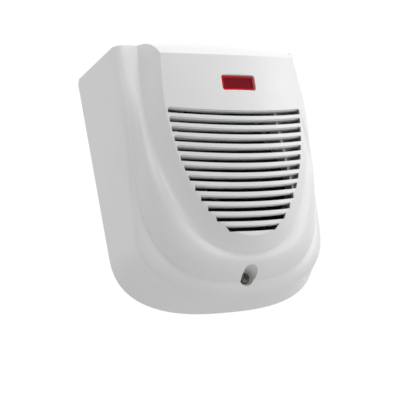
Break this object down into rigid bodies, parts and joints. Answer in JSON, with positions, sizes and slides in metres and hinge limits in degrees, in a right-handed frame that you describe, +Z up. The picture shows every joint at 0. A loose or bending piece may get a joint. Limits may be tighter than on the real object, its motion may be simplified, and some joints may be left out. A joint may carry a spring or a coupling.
{
  "type": "alarm siren",
  "caption": "Wall-mounted electronic alarm siren: white sculpted cover with curved louvres and a red indicator, hinged over a base plate that carries a horn speaker and its board.",
  "frame": {"origin": "centre of the mounting face, on the wall plane", "axes": "+Y into the wall, -Y to the front, +Z up, X across the width"},
  "size_m": [0.1396, 0.0724, 0.1547],
  "materials": {
    "white_abs": "fine satin moulded ABS",
    "red_polycarbonate": "gloss red tinted moulding",
    "zinc_plated_steel": "plated",
    "dark_steel": "dark plated",
    "base_abs": "moulded ABS",
    "black_rubber": "soft matt",
    "brass": "turned",
    "black_abs": "fine texture",
    "ferrite": "ground",
    "diaphragm_film": "thin amber film",
    "board_green": "solder mask",
    "terminal_green": "moulded",
    "led_red": "clear red epoxy",
    "clear_acrylic": "polished clear",
    "ic_epoxy": "moulded epoxy",
    "capacitor_sleeve": "shrink sleeve",
    "aluminium": "extruded",
    "switch_button": "moulded nylon",
    "wire_red": "insulation",
    "wire_yellow": "insulation"
  },
  "bodies": {
    "base": {"base_plate": "base_abs", "board_screw_1": "zinc_plated_steel", "board_screw_2": "zinc_plated_steel", "cable_grommet": "black_rubber", "capacitor": "capacitor_sleeve", "circuit_board": "board_green", "control_chip": "ic_epoxy", "driver_back_plate": "zinc_plated_steel", "driver_front_plate": "zinc_plated_steel", "driver_magnet": "ferrite", "heat_sink": "aluminium", "horn_flare": "black_abs", "horn_phase_plug": "black_abs", "horn_screw_1": "zinc_plated_steel", "horn_screw_2": "zinc_plated_steel", "horn_screw_3": "zinc_plated_steel", "horn_screw_4": "zinc_plated_steel", "lead_red": "wire_red", "lead_socket": "base_abs", "lead_yellow": "wire_yellow", "led_1": "led_red", "led_2": "led_red", "light_guide": "clear_acrylic", "light_guide_holder": "black_abs", "power_transistor": "ic_epoxy", "tamper_switch": "black_abs", "terminal_block": "terminal_green", "threaded_insert": "brass"},
    "cover": {"front_cover": "white_abs", "indicator_lens": "red_polycarbonate", "hinge_pin": "zinc_plated_steel"},
    "cover_screw": {"cover_screw": "dark_steel"},
    "tamper_plunger": {"tamper_plunger": "switch_button"},
    "diaphragm": {"diaphragm": "diaphragm_film"},
    "terminal_screw_1": {"terminal_screw_1": "zinc_plated_steel"},
    "terminal_screw_2": {"terminal_screw_2": "zinc_plated_steel"},
    "terminal_screw_3": {"terminal_screw_3": "zinc_plated_steel"},
    "terminal_screw_4": {"terminal_screw_4": "zinc_plated_steel"}
  },
  "joints": [
    {"name": "cover_hinge", "type": "hinge", "parent": "base", "child": "cover", "pos_m": [0, -0.0046, 0.074], "axis": [-1, 0, 0], "range_deg": [0, 50]},
    {"name": "cover_screw_travel", "type": "slide", "parent": "cover", "child": "cover_screw", "axis": [0, -1, 0], "range_m": [0, 0.005]},
    {"name": "tamper_press", "type": "slide", "parent": "base", "child": "tamper_plunger", "axis": [0, 1, 0], "range_m": [0, 0.0012], "stiffness_N_per_m": 120},
    {"name": "diaphragm_travel", "type": "slide", "parent": "base", "child": "diaphragm", "axis": [0, -1, 0], "range_m": [-0.0003, 0.0003], "stiffness_N_per_m": 500},
    {"name": "terminal_screw_1_turn", "type": "hinge", "parent": "base", "child": "terminal_screw_1", "pos_m": [-0.0428, -0.0157, 0.0496], "axis": [0, -1, 0], "continuous": true},
    {"name": "terminal_screw_2_turn", "type": "hinge", "parent": "base", "child": "terminal_screw_2", "pos_m": [-0.0376, -0.0157, 0.0496], "axis": [0, -1, 0], "continuous": true},
    {"name": "terminal_screw_3_turn", "type": "hinge", "parent": "base", "child": "terminal_screw_3", "pos_m": [-0.0324, -0.0157, 0.0496], "axis": [0, -1, 0], "continuous": true},
    {"name": "terminal_screw_4_turn", "type": "hinge", "parent": "base", "child": "terminal_screw_4", "pos_m": [-0.0272, -0.0157, 0.0496], "axis": [0, -1, 0], "continuous": true}
  ]
}
